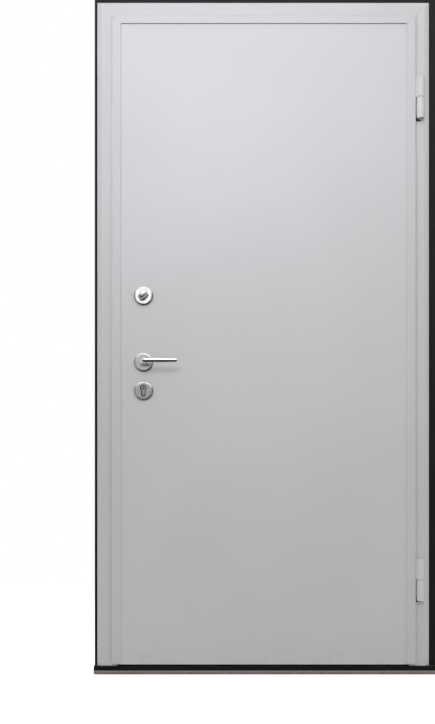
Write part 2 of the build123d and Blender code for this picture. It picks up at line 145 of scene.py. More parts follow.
def colour_setting(name, description, default, brightest=1.0):
    """Setting for a colour."""
    return FloatVectorProperty(name=name, description=description, default=default, min=0.0, max=brightest,
                               size=3, subtype="COLOR")


def length_setting(name, description, default, least, most, precision=4):
    """Setting for a length."""
    return FloatProperty(name=name, description=description, default=default, min=least, max=most,
                         unit="LENGTH", precision=precision)


def place_setting(name, description, default):
    """Setting for a point in the studio."""
    return FloatVectorProperty(name=name, description=description, default=default, size=3,
                               subtype="TRANSLATION", unit="LENGTH")


def size_setting(name, description, default):
    """Setting for a lamp's width and height."""
    return FloatVectorProperty(name=name, description=description, default=default, size=2, unit="LENGTH")


def power_setting(name, description, default):
    """Setting for a lamp's power."""
    return FloatProperty(name=name, description=description, default=default, min=0.0, unit="POWER")


def shade_setting(name, description, default, brightest=1.0):
    """Setting for a brightness."""
    return FloatProperty(name=name, description=description, default=default, min=0.0, max=brightest)


class DoorFinishes(PropertyGroup):
    """Colours and surface grain of the door's finishes."""

    pale_colour: colour_setting("Face coat", "Powder coat of the leaf's two sheets", (0.776, 0.762, 0.779))
    # The casing coat is a darker copy of the face's powder coat: painted shade.
    shaded_casing_colour: colour_setting(
        "Casing coat", "Powder coat of the casing, the bands and the leaf's edges", (0.742, 0.735, 0.746))
    # The hinge coat is a lighter copy of the same powder coat: painted light on the barrels.
    lit_hinge_colour: colour_setting("Hinge coat", "Powder coat of the hinge barrels", (0.83, 0.825, 0.82))
    dark_colour: colour_setting("Dark paint", "Paint of the carcass and the threshold", (0.016, 0.016, 0.016))
    plating_colour: colour_setting(
        "Polished plating", "Plating of the lever, the knob and the rosettes", (0.84, 0.84, 0.85))
    zinc_colour: colour_setting(
        "Zinc", "Plated steel of the lock edge, strikes, key cylinder and hinge pins", (0.56, 0.56, 0.54))
    rubber_colour: colour_setting("Rubber", "Sealing strips", (0.018, 0.018, 0.018))
    strip_colour: colour_setting("Sill strip", "Bare strip along the foot of the threshold", (0.30, 0.275, 0.25))
    peel_size: length_setting("Peel size", "Width of one ripple of the powder coat", 0.0026, 0.0005, 0.02)
    peel_depth: length_setting("Peel depth", "Height of a ripple of the powder coat", 0.00005, 0.0, 0.001, 6)


class DoorFittings(PropertyGroup):
    """Sizes of the plate screws, and of the levers, the thumbturn and the key cylinder."""

    head_radius: length_setting("Screw head radius", "Radius of a plate screw's raised head", 0.0046, 0.002, 0.01)
    head_crown: length_setting(
        "Screw head crown", "Height of a plate screw's head over the plate", 0.0013, 0.0003, 0.003)
    recess_depth: length_setting(
        "Cross recess depth", "Depth of the cross recess in a plate screw", 0.0011, 0.0, 0.003)
    end_inset: length_setting(
        "Screw inset", "Distance of a plate screw from the end of its plate", 0.012, 0.005, 0.05)
    plug_radius: length_setting(
        "Key plug radius", "Radius of the turning plug in the key cylinder", 0.0060, 0.004, 0.008)
    plug_proud: length_setting(
        "Key plug height", "Height of the key plug over the cylinder's end", 0.0005, 0.0001, 0.001, 5)
    knob_long: length_setting("Thumbturn length", "Length of the thumbturn's wing", 0.0340, 0.02, 0.05)
    knob_wide: length_setting("Thumbturn width", "Thickness of the thumbturn's wing", 0.0200, 0.006, 0.03)
    knob_high: length_setting("Thumbturn height", "Height of the thumbturn over its rosette", 0.0258, 0.01, 0.04)
    knob_tilt: FloatProperty(
        name="Thumbturn slant", description="Slant of the thumbturn's wing when it is at rest",
        default=math.radians(38.0), subtype="ANGLE",
    )
    collar_radius: length_setting("Collar radius", "Radius of the collar at the thumbturn's foot", 0.0093, 0.005, 0.015)
    stem_radius: length_setting("Stem radius", "Radius of the thumbturn's stem", 0.0060, 0.003, 0.008)
    cylinder_head: length_setting(
        "Cylinder head radius", "Radius of the key cylinder's round head", 0.0077, 0.006, 0.0085)
    cylinder_tail: length_setting("Cylinder tail", "Half the width of the key cylinder's tail", 0.0042, 0.002, 0.005)
    cylinder_drop: length_setting(
        "Cylinder drop", "Distance from the plug's middle to the middle of the tail's round end", 0.0195, 0.01, 0.03)
    lever_stand: length_setting(
        "Lever stand", "Distance of the grip's middle line from the leaf", 0.050, 0.03, 0.08)
    lever_bend: length_setting(
        "Lever bend", "Radius of the bend between the neck and the grip", 0.015, 0.013, 0.03)
    rings: IntProperty(name="Rings", description="Rings of faces across a fitting", default=40, min=8, max=120)
    spokes: IntProperty(name="Spokes", description="Faces round a fitting", default=96, min=16, max=360)


class DoorStudio(PropertyGroup):
    """Camera, lamps, room, cards and floor."""

    camera_place: place_setting("Camera", "Place of the camera, which looks straight along +Y", (0.015, -3.152, 0.605))
    picture_centre: place_setting(
        "Picture centre", "Point in the casing's front plane at the middle of the picture", (-0.139, -0.052, 0.951))
    picture_height: length_setting(
        "Picture height", "Height that the picture shows in the casing's front plane", 2.208, 0.5, 10.0)
    key_place: place_setting("Main lamp", "Place of the large soft lamp", (-0.7, -2.6, 2.4))
    key_aim: place_setting("Main lamp aim", "Point that the large soft lamp looks at", (-0.094, -0.05, 1.87))
    key_power: power_setting("Main lamp power", "Power of the large soft lamp", 1.8)
    key_colour: colour_setting("Main lamp colour", "Colour of the large soft lamp", (0.96, 0.96, 1.06), 2.0)
    key_size: size_setting("Main lamp size", "Width and height of the large soft lamp", (1.0, 1.0))
    key_spread: FloatProperty(
        name="Main lamp spread", description="Angle over which the lamp's grid lets light out",
        default=math.radians(46.3), min=0.1, max=math.pi, subtype="ANGLE",
    )
    fill_place: place_setting(
        "Fill lamp", "Place of the far lamp that lights the whole door evenly", (-0.3, -5.6, 3.9))
    fill_power: power_setting("Fill lamp power", "Power of the far lamp", 52.0)
    fill_size: size_setting("Fill lamp size", "Width and height of the far lamp and the back lamp", (1.6, 1.6))
    back_place: place_setting(
        "Back lamp", "Place of the lamp that lights the side away from the camera", (1.2, 5.0, 3.4))
    back_power: power_setting("Back lamp power", "Power of the lamp behind the door", 70.0)
    room_light: shade_setting("Room light", "Even light from all round", 0.49, 2.0)
    wall_shade: shade_setting(
        "Grey card", "Brightness of the grey card that metal shows from in front of the door", 0.40)
    wall_height: length_setting("Grey card height", "Height of the grey card's upper edge", 2.5, 0.1, 4.0)
    high_low: length_setting(
        "High card foot", "Height of the lower edge of the pale card before the grey one", 1.6, 0.1, 4.0)
    foot_height: length_setting(
        "Foot card height", "Height of the pale card under the dark one behind the camera", 0.5, 0.05, 0.9)
    card_low: length_setting(
        "Grey card foot", "Height of the grey card's lower edge, over a dark card", 1.0, 0.0, 4.0)
    high_shade: shade_setting("High card", "Brightness of the pale card before the grey one", 1.3, 4.0)
    floor_shade: shade_setting("Dark cards", "Brightness of the dark cards near the door and behind the camera", 0.02)
    ceiling_shade: shade_setting("Bright card", "Brightness of the card that metal shows from above", 1.6, 4.0)
    side_shade: shade_setting("Side cards", "Brightness of the two cards at the sides", 0.08)
    side_low: length_setting(
        "Side card foot", "Height of the lower edge of the side cards, over paler ones", 0.7, 0.0, 2.0)
    far_shade: shade_setting(
        "Pale cards", "Brightness of the cards on the far floor and at the foot of the others", 0.35)
    side_reach: length_setting("Side card distance", "Distance of a side card from the door's middle", 2.6, 1.0, 10.0)
    floor_colour: colour_setting("Floor", "Colour of the floor", (0.86, 0.86, 0.86))
    floor_glow: shade_setting(
        "Floor brightness", "Brightness that the picture adds to the floor near the door", 0.72)


def add_node(tree, kind, **sockets):
    """Adds a node and sets the sockets named, with underscores for blanks."""
    node = tree.nodes.new(kind)
    for socket, value in sockets.items():
        node.inputs[socket.replace("_", " ")].default_value = value
    return node


def bare_material(name):
    """A material whose node tree is still empty."""
    material = bpy.data.materials.new(name)
    material.use_nodes = True
    material.node_tree.nodes.clear()
    return material


class Finish:
    """One finish being mixed: a material, its node tree and the shader that closes it."""

    def __init__(self, name, roughness, metallic=0.0):
        self.material = bare_material(name)
        self.tree = self.material.node_tree
        self.shader = self.add("ShaderNodeBsdfPrincipled", Roughness=roughness, Metallic=metallic)
        output = self.add("ShaderNodeOutputMaterial")
        self.join(self.shader.outputs["BSDF"], output.inputs["Surface"])
        self.place = self.add("ShaderNodeTexCoord").outputs["Object"]
        self.relief = None

    def add(self, kind, **sockets):
        return add_node(self.tree, kind, **sockets)

    def join(self, source, target):
        self.tree.links.new(source, target)

    def stretched(self, scale):
        """The piece's own coordinates, drawn out by a factor along each axis."""
        mapping = self.add("ShaderNodeMapping", Scale=scale)
        self.join(self.place, mapping.inputs["Vector"])
        return mapping.outputs["Vector"]

    def noise(self, scale, detail=2.0, roughness=0.5, place=None):
        node = self.add("ShaderNodeTexNoise", Scale=scale, Detail=detail, Roughness=roughness)
        self.join(place or self.place, node.inputs["Vector"])
        return node.outputs["Fac"]

    def span(self, value, low, high, to_low=0.0, to_high=1.0):
        """Carries the range low to high smoothly over to another range."""
        node = self.add("ShaderNodeMapRange", From_Min=low, From_Max=high, To_Min=to_low, To_Max=to_high)
        node.interpolation_type = "SMOOTHSTEP"
        self.join(value, node.inputs["Value"])
        return node.outputs["Result"]

    def reckon(self, operation, *values):
        """Works out one or two values, each a number or a socket."""
        node = self.add("ShaderNodeMath")
        node.operation = operation
        for value, socket in zip(values, node.inputs):
            if hasattr(value, "is_linked"):
                self.join(value, socket)
            else:
                socket.default_value = value
        return node.outputs[0]

    def times(self, first, second):
        return self.reckon("MULTIPLY", first, second)

    def axis(self, letter, vector=None):
        """One coordinate of a vector, or else of the piece's own place."""
        node = self.add("ShaderNodeSeparateXYZ")
        self.join(vector or self.place, node.inputs[0])
        return node.outputs[letter]

    def facing(self, letter):
        """One coordinate of the direction that a face looks in."""
        return self.axis(letter, self.add("ShaderNodeNewGeometry").outputs["Normal"])

    def upright(self, low, high):
        """How far a face looks up, or down where both limits are below 0, from 0 at one limit to 1 at the other."""
        return self.span(self.facing("Z"), low, high)

    def endways(self, low, high):
        """How far a face looks along Y, either way, from 0 at one limit to 1 at the other."""
        return self.span(self.reckon("ABSOLUTE", self.facing("Y")), low, high)

    def tint(self, amount, first, second):
        """Mixes two colours, each a colour or a socket, by an amount that varies over the surface."""
        node = self.tree.nodes.new("ShaderNodeMix")
        node.data_type = "RGBA"
        self.join(amount, node.inputs[0])
        for value, socket in ((first, node.inputs[6]), (second, node.inputs[7])):
            if hasattr(value, "is_linked"):
                self.join(value, socket)
            else:
                socket.default_value = (*value, 1.0)
        return node.outputs[2]

    def raise_by(self, height, depth):
        """Adds a layer of relief over what is there."""
        node = self.add("ShaderNodeBump", Strength=1.0, Distance=depth)
        self.join(height, node.inputs["Height"])
        if self.relief:
            self.join(self.relief, node.inputs["Normal"])
        self.relief = node.outputs["Normal"]

    def done(self, colour, rough):
        self.join(colour, self.shader.inputs["Base Color"])
        self.join(rough, self.shader.inputs["Roughness"])
        if self.relief:
            self.join(self.relief, self.shader.inputs["Normal"])
        return self.material


def shade_of(colour, factor, warm=0.0):
    """A colour made darker or lighter by a factor, and warmer by taking out some blue."""
    return (colour[0] * factor, colour[1] * factor * (1 - warm / 2), colour[2] * factor * (1 - warm))


def dress(nodes, material):
    """Puts a finish into the material slots of CAD nodes."""
    for name in nodes:
        piece = NODES[name]
        if not piece.material_slots:
            piece.data.materials.append(material)
        for slot in piece.material_slots:
            slot.material = material


def nodes_in(slot):
    return sorted(name for name, held in SLOT_OF.items() if held == slot)


def shell(rings, first_pole, last_pole):
    """Vertices and faces of a closed round shell: rings of points, each joined to the next by four-sided
    faces and round to its own start, and a fan of triangles to one point at either end. All faces are turned
    round if the volume they enclose, a sum of corner determinants, comes out below 0."""
    rows, spokes = rings.shape[:2]
    points = np.concatenate((rings.reshape(-1, 3), first_pole[None], last_pole[None]))
    turn = np.arange(spokes)
    after = (turn + 1) % spokes
    ring = np.arange(rows - 1)[:, None] * spokes
    quads = np.stack((ring + turn, ring + after, ring + spokes + after, ring + spokes + turn), axis=-1).reshape(-1, 4)
    last, pole = (rows - 1) * spokes, np.full(spokes, rows * spokes)
    fans = np.concatenate((np.stack((pole, after, turn), axis=-1),
                           np.stack((pole + 1, last + turn, last + after), axis=-1)))
    corners = points[np.concatenate((quads[:, :3], quads[:, [0, 2, 3]], fans))] - points.mean(axis=0)
    if np.linalg.det(corners).sum() < 0:
        quads, fans = quads[:, ::-1], fans[:, ::-1]
    return points, quads, fans


def make_piece(name, shells, body, material, sharp_from=35.0):
    """Joins shells into one piece at the origin, which rides on a body and takes a slot's finish."""
    starts = np.cumsum([0] + [len(points) for points, _, _ in shells])
    points = np.concatenate([part[0] for part in shells])
    quads = np.concatenate([part[1] + start for part, start in zip(shells, starts)])
    fans = np.concatenate([part[2] + start for part, start in zip(shells, starts)])
    mesh = bpy.data.meshes.new(name)
    mesh.from_pydata(points.tolist(), [], quads.tolist() + fans.tolist())
    mesh.validate()
    mesh.polygons.foreach_set("use_smooth", np.ones(len(mesh.polygons), dtype=bool))
    mesh.set_sharp_from_angle(angle=math.radians(sharp_from))
    piece = bpy.data.objects.new(name, mesh)
    piece.data.materials.append(material)
    bpy.context.scene.collection.objects.link(piece)
    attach(piece, body)
    return piece


def flat_sheet(name, corner, first, second, steps, material):
    """A flat grid of the stage: each point is the corner plus a share of one edge and a share of another."""
    share = np.linspace(0.0, 1.0, steps + 1)[:, None]
    points = np.array(corner) + share[:, None] * np.array(first) + share * np.array(second)
    start = np.arange(steps)[:, None] * (steps + 1) + np.arange(steps)
    quads = np.stack((start, start + steps + 1, start + steps + 2, start + 1), axis=-1)
    mesh = bpy.data.meshes.new(name)
    mesh.from_pydata(points.reshape(-1, 3).tolist(), [], quads.reshape(-1, 4).tolist())
    mesh.materials.append(material)
    sheet = bpy.data.objects.new(name, mesh)
    bpy.context.scene.collection.objects.link(sheet)
    return sheet


def smooth(value, low, high):
    """A smooth step: 0 below low, 1 above high, and a cubic curve between."""
    part = np.clip((value - low) / (high - low), 0.0, 1.0)
    return part * part * (3 - 2 * part)


def screw_head(centre, outward, settings):
    """Raised countersunk head with a cross recess. Over a disc in polar coordinates the height is a crown that
    falls with the square of the radius, less a cross: two slots at right angles whose depth fades towards
    their sides and ends. Past the rim the shell turns down into the plate and closes under it."""
    spokes, crown, recess = settings.spokes, settings.head_crown, settings.recess_depth
    part = np.linspace(0.0, 1.0, settings.rings + 1)[1:]
    angle = np.arange(spokes) * 2 * np.pi / spokes
    across, along = (part[:, None] * f(angle)[None] for f in (np.cos, np.sin))
    cross = np.maximum(*(
        (1 - smooth(np.abs(one), *SCREW_SIDES)) * (1 - smooth(np.abs(other), *SCREW_ENDS))
        for one, other in ((across, along), (along, across))
    ))
    height = crown * (1 - SCREW_FALL * part[:, None] ** 2) - recess * cross
    across, along = (
        np.concatenate((share, share[-1:], share[-1:] * SCREW_FOOT_WIDE))[..., None] * settings.head_radius
        for share in (across, along)
    )
    height = np.concatenate((height, np.zeros((1, spokes)), np.full((1, spokes), -SCREW_FOOT)))
    outward = np.asarray(outward)
    points = centre + across * np.array((0.0, 1.0, 0.0)) + along * np.array((0.0, 0.0, 1.0))
    points = points + height[..., None] * outward
    return shell(points, centre + (crown - recess) * outward, centre - SCREW_FOOT * outward)


def cylinder_reach(angle, head, tail, drop):
    """Distance from the plug's middle to the key cylinder's outline, for every direction: the round head, or
    where it reaches further, the straight sides of the tail and the circle at the tail's end."""
    down = -np.sin(angle)
    sides = tail / np.maximum(np.abs(np.cos(angle)), 1e-9)
    toward = drop * down
    end = toward + np.sqrt(np.maximum(toward**2 - drop**2 + tail**2, 0.0))
    reach = np.where(sides * down <= drop, sides, end)
    return np.maximum(head, np.where(down > 0, reach, 0.0))


def cylinder_end(angle, settings):
    """One end of the key cylinder as rows of distances across, upward and outward. Each spoke runs up from the
    keyway's floor, along the keyway's outline, which is a squared-off oval bent twice by a sine, over a bevel,
    across the plug, down and up a fine groove, across the end face, over its edge and round the collar."""
    cosine, sine = np.cos(angle), np.sin(angle)
    slot_x = KEYWAY[0] * np.sign(cosine) * np.abs(cosine) ** KEYWAY_SQUARE
    slot_z = KEYWAY[1] * np.sign(sine) * np.abs(sine) ** KEYWAY_SQUARE
    slot_x = slot_x + KEYWAY_BEND * np.sin(slot_z / KEYWAY[1] * np.pi)
    plug, head, tail = settings.plug_radius, settings.cylinder_head, settings.cylinder_tail
    reach, collar = (
        cylinder_reach(angle, head + wider, tail + wider, settings.cylinder_drop) for wider in (0.0, COLLAR_WIDE)
    )
    rows = [
        (slot_x * (1 - share) + plug * cosine * share, slot_z * (1 - share) + plug * sine * share,
         settings.plug_proud if level is None else level)
        for share, level in PLUG_ROWS
    ]
    under = COLLAR_DEEP + COLLAR_THICK
    lengths = [(plug * (1 - share) + reach * share, level) for share, level in END_ROWS]
    lengths += [(reach, -COLLAR_DEEP), (collar, -COLLAR_DEEP), (collar, -under), (reach, -under)]
    rows += [(length * cosine, length * sine, level) for length, level in lengths]
    return (np.array(column) for column in zip(*rows))


def key_cylinder(low, high, settings):
    """Key cylinder through the leaf: one end, the straight sides and the other end, as one closed shell."""
    middle_x = (low[0] + high[0]) / 2
    middle_z = high[2] - (high[0] - low[0]) / 2
    angle = np.arange(2 * settings.spokes) * np.pi / settings.spokes
    across, upward, height = cylinder_end(angle, settings)

    def end(face, outward):
        level = np.broadcast_to(face + outward * height[:, None], across.shape)
        return np.stack((middle_x + across, level, middle_z + upward), axis=-1)

    rings = np.concatenate((end(low[1], -1.0), end(high[1], 1.0)[::-1]))
    return shell(rings, np.array((middle_x, low[1] + KEYWAY_DEEP, middle_z)),
                 np.array((middle_x, high[1] - KEYWAY_DEEP, middle_z)))


def lever_grip(low, high, outward, settings):
    """Lever from the rosette to its tip: an oval carried along a straight neck, a quarter circle and a straight
    grip. The oval's two half axes, its rise and the power that squares or sharpens it change smoothly along the
    run; at the tip both axes close as a quarter of an ellipse."""
    neck = (high[2] - low[2]) / 2
    start_x, level = low[0] + neck, (low[2] + high[2]) / 2
    face = high[1] if outward < 0 else low[1]
    stand, bend = settings.lever_stand, settings.lever_bend
    straight, turn = stand - bend, bend * np.pi / 2
    grip = high[0] - start_x - bend
    total = straight + turn + grip
    tip = np.sin(np.linspace(0.0, np.pi / 2, settings.rings // 2))
    run = np.concatenate((np.linspace(LEVER_CLEAR, total - LEVER_TIP, 3 * settings.rings),
                          total - LEVER_TIP * (1 - tip[1:-1])))
    part = np.clip((run - straight) / turn, 0.0, 1.0) * np.pi / 2
    x = start_x + bend * (1 - np.cos(part)) + np.maximum(run - straight - turn, 0.0)
    y = np.minimum(run, straight) + bend * np.sin(part)
    stations = np.array(LEVER_STATIONS) * total

    def along(values):
        even = np.linspace(-LEVER_MARGIN, 1 + LEVER_MARGIN, LEVER_SAMPLES) * total
        kept = np.convolve(np.interp(even, stations, values), LEVER_EASE, mode="same")
        return np.interp(run, even, kept)

    close = np.sqrt(np.clip(1 - np.clip((run - total + LEVER_TIP) / LEVER_TIP, 0, 1) ** 2, 0, 1))
    deep = along(np.array(LEVER_DEEP) * neck) * close
    tall = along(np.array(LEVER_TALL) * neck) * close
    power = (2.0 / along(LEVER_POWER))[:, None]
    middle = level + along(np.array(LEVER_LIFT) * neck)
    angle = np.arange(settings.spokes) * 2 * np.pi / settings.spokes
    cosine = np.sign(np.cos(angle)) * np.abs(np.cos(angle)) ** power
    sine = np.sign(np.sin(angle)) * np.abs(np.sin(angle)) ** power
    side = deep[:, None] * cosine * -outward
    points = np.stack((x[:, None] + side * np.cos(part)[:, None],
                       face + outward * (y[:, None] - side * np.sin(part)[:, None]),
                       middle[:, None] + tall[:, None] * sine), axis=-1)
    return shell(points, np.array((start_x, face + outward * LEVER_CLEAR, level)),
                 np.array((high[0], face + outward * stand, middle[-1])))


class DOOR_OT_pale_paint(Operator):
    """Coats the leaf, the casing and the hinge barrels in pale satin powder coat; the barrels' copy is lighter as
    painted light, the casing's darker as painted shade, and faces that look down are darkened as painted shade
    """

    bl_idname = "door.pale_paint"
    bl_label = "Coat the leaf and the casing"

    def execute(self, context):
        settings = context.scene.door_finishes
        pale = nodes_in("pale_paint")
        sheets = [n for n in pale if n.endswith("_sheet")]
        barrels = [n for n in pale if n.endswith("_knuckle")]
        for name, nodes, colour in (
            # One powder coat in three copies: the face's own, a lighter one on the barrels as painted light, a darker
            # one on the casing as painted shade.
            ("pale_face_coat", sheets, tuple(settings.pale_colour)),
            ("lit_pale_hinge_coat", barrels, tuple(settings.lit_hinge_colour)),
            ("shaded_pale_casing_coat", [n for n in pale if n not in sheets + barrels], tuple(settings.shaded_casing_colour)),
        ):
            finish = Finish(name, roughness=0.4)
            drift = finish.span(finish.noise(1.9, detail=3.0), 0.35, 0.65)
            near_floor = finish.span(finish.axis("Z"), 0.16, 0.0)
            grime_and_shade_mask = finish.times(near_floor, finish.span(finish.noise(38.0, detail=5.0), 0.45, 0.75))
            paint = finish.tint(drift, colour, shade_of(colour, 0.972, warm=0.008))
            paint = finish.tint(finish.times(grime_and_shade_mask, finish.span(finish.noise(7.0), 0.2, 0.8, 0.05, 0.22)),
                                paint, shade_of(colour, 0.62, warm=0.10))
            # Faces that look down are tinted dark: painted shade under the top band, the hinge barrels and other
            # overhangs.
            paint = finish.tint(finish.upright(-0.6, -0.95), paint, shade_of(colour, 0.30, warm=0.02))
            rough = finish.span(finish.noise(11.0, detail=4.0, roughness=0.6), 0.3, 0.7, 0.44, 0.54)
            finish.raise_by(finish.noise(2.3, detail=0.0), 0.0003)
            finish.raise_by(finish.noise(1.0 / settings.peel_size, detail=1.0), settings.peel_depth)
            dress(nodes, finish.done(paint, rough))
        return {"FINISHED"}


class DOOR_OT_dark_paint(Operator):
    """Paints the carcass and the threshold dark, with foot wear on the threshold"""

    bl_idname = "door.dark_paint"
    bl_label = "Paint the carcass and the threshold"

    def execute(self, context):
        colour = tuple(context.scene.door_finishes.dark_colour)
        worn = ("threshold", "threshold_stop")
        for name, nodes, wear, gloss in (
            ("dark_frame_paint", [n for n in nodes_in("dark_paint") if n not in worn], 0.25, 0.2),
            ("worn_threshold_paint", list(worn), 1.0, 0.06),
        ):
            finish = Finish(name, roughness=0.5)
            finish.shader.inputs["Specular IOR Level"].default_value = gloss
            drift = finish.span(finish.noise(5.0, detail=4.0), 0.3, 0.7)
            paint = finish.tint(drift, colour, shade_of(colour, 0.72))
            dust = finish.span(finish.noise(26.0, detail=5.0), 0.3, 0.8, 0.06, 0.42 * wear)
            dust = finish.times(finish.upright(0.55, 0.95), dust)
            paint = finish.tint(dust, paint, DUST)
            scuffs = finish.noise(1.0, detail=3.0, place=finish.stretched((6.0, 160.0, 160.0)))
            scuffs = finish.span(scuffs, 0.60, 0.74, 0.0, 0.35 * wear)
            paint = finish.tint(scuffs, paint, shade_of(colour, 2.6, warm=0.05))
            rough = finish.span(finish.noise(17.0, detail=4.0), 0.3, 0.7, 0.42, 0.60)
            finish.raise_by(finish.noise(700.0), 0.00006)
            dress(nodes, finish.done(paint, rough))
        return {"FINISHED"}


class DOOR_OT_plating(Operator):
    """Plates the levers, the knob and the rosettes, with faint wiping marks and painted shade and dark reflection on
    the sides and lower part of a rosette's rim
    """

    bl_idname = "door.plating"
    bl_label = "Plate the lever, the knob and the rosettes"

    def execute(self, context):
        colour = tuple(context.scene.door_finishes.plating_colour)
        rosettes = [n for n in nodes_in("polished_metal") if "rosette" in n]
        for name, nodes, rough_least, rough_most in (
            ("polished_plating", ["lever_inside", "lever_outside"], 0.11, 0.22),
            ("rosette_plating", rosettes, 0.11, 0.22),
            ("satin_plating", ["thumbturn_knob"], 0.30, 0.42),
        ):
            finish = Finish(name, roughness=0.14, metallic=1.0)
            smears = finish.noise(55.0, detail=4.0, roughness=0.6)
            metal = finish.tint(finish.span(smears, 0.35, 0.7), colour, shade_of(colour, 0.93, warm=0.02))
            if nodes is rosettes:
                # Rosette rims that face sideways or down are darkened: painted shade and painted dark reflection.
                grime_and_shade_mask = finish.times(finish.endways(0.76, 0.52), finish.upright(0.55, 0.15))
                metal = finish.tint(grime_and_shade_mask, metal, shade_of(colour, 0.10, warm=0.05))
            wiping = finish.noise(1.0, detail=2.0, place=finish.stretched((260.0, 900.0, 1500.0)))
            rough = finish.span(smears, 0.3, 0.75, rough_least, rough_most)
            finish.raise_by(wiping, 0.000004)
            dress(nodes, finish.done(metal, rough))
        return {"FINISHED"}


def zinc_finish(settings):
    """Plated steel, drawn lengthwise, with slightly clouded plating."""
    colour = tuple(settings.zinc_colour)
    finish = Finish("zinc_plated_steel", roughness=0.38, metallic=1.0)
    clouds = finish.noise(80.0, detail=5.0, roughness=0.6)
    metal = finish.tint(finish.span(clouds, 0.35, 0.7), colour, shade_of(colour, 0.84, warm=0.06))
    drawn = finish.noise(1.0, detail=3.0, place=finish.stretched((1200.0, 1200.0, 18.0)))
    rough = finish.span(clouds, 0.3, 0.75, 0.30, 0.46)
    finish.raise_by(drawn, 0.00001)
    return finish.done(metal, rough)


def cylinder_finish(settings):
    """Turned steel of the key cylinder: bright on its two ends, and dark down its sides and in its keyways, which is
    old oil and also painted shade for the gap round the cylinder and the keyways' depth."""
    colour = tuple(settings.zinc_colour)
    finish = Finish("oiled_and_shaded_cylinder_steel", roughness=0.38, metallic=1.0)
    low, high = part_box("lock_cylinder")
    middle, half = (low[1] + high[1]) / 2, (high[1] - low[1]) / 2
    away = finish.reckon("ABSOLUTE", finish.reckon("SUBTRACT", finish.axis("Y"), middle))
    ends = finish.times(finish.endways(0.5, 0.9), finish.span(away, *(half - depth for depth in OIL_AND_SHADE_EDGE)))
    specks = finish.span(finish.noise(900.0, detail=4.0), 0.35, 0.7)
    bright = finish.tint(specks, shade_of(colour, 1.1), shade_of(colour, 0.9, warm=0.05))
    # Dark down the sides and in the keyways: painted shade for the gap round the cylinder and the keyways, together
    # with old oil.
    metal = finish.tint(ends, OIL_AND_SHADE, bright)
    rough = finish.span(finish.noise(300.0, detail=3.0), 0.3, 0.75, 0.28, 0.44)
    finish.raise_by(finish.noise(1.0, detail=2.0, place=finish.stretched((2500.0, 100.0, 300.0))), 0.000006)
    return finish.done(metal, rough)


class DOOR_OT_plated_steel(Operator):
    """Gives the lock edge, the strikes, the key cylinder and the hinge pins their steel"""

    bl_idname = "door.plated_steel"
    bl_label = "Finish the lock edge, the cylinder and the hinge pins"

    def execute(self, context):
        settings = context.scene.door_finishes
        dress([name for name in nodes_in("plain_steel") if name != "lock_cylinder"], zinc_finish(settings))
        dress(["lock_cylinder"], cylinder_finish(settings))
        return {"FINISHED"}


class DOOR_OT_seals(Operator):
    """Gives the sealing strips their black rubber"""

    bl_idname = "door.seals"
    bl_label = "Finish the sealing strips"

    def execute(self, context):
        colour = tuple(context.scene.door_finishes.rubber_colour)
        finish = Finish("seal_rubber_black", roughness=0.68)
        bloom = finish.span(finish.noise(34.0, detail=5.0), 0.45, 0.75)
        rubber = finish.tint(bloom, colour, shade_of(colour, 1.9))
        rough = finish.span(finish.noise(60.0, detail=3.0), 0.3, 0.7, 0.58, 0.78)
        finish.raise_by(finish.noise(900.0, detail=2.0), 0.00004)
        dress(nodes_in("seal_rubber"), finish.done(rubber, rough))
        return {"FINISHED"}


class DOOR_OT_sill_strip(Operator):
    """Gives the sill strip its bare metal, browned along the foot"""

    bl_idname = "door.sill_strip"
    bl_label = "Finish the sill strip"

    def execute(self, context):
        colour = tuple(context.scene.door_finishes.strip_colour)
        finish = Finish("browned_strip_metal", roughness=0.5)
        foot = finish.span(finish.axis("Z"), 0.0076, 0.0050)
        stains = finish.span(finish.noise(22.0, detail=5.0), 0.3, 0.7, 0.55, 1.0)
        metal = finish.tint(finish.times(foot, stains), colour, STAIN)
        drawn = finish.noise(1.0, detail=3.0, place=finish.stretched((9.0, 700.0, 700.0)))
        metal = finish.tint(finish.span(drawn, 0.52, 0.72, 0.0, 0.35), metal, shade_of(colour, 0.66, warm=0.05))
        rough = finish.span(finish.noise(45.0, detail=4.0), 0.3, 0.7, 0.42, 0.62)
        finish.raise_by(drawn, 0.00003)
        dress(nodes_in("sill_metal"), finish.done(metal, rough))
        return {"FINISHED"}


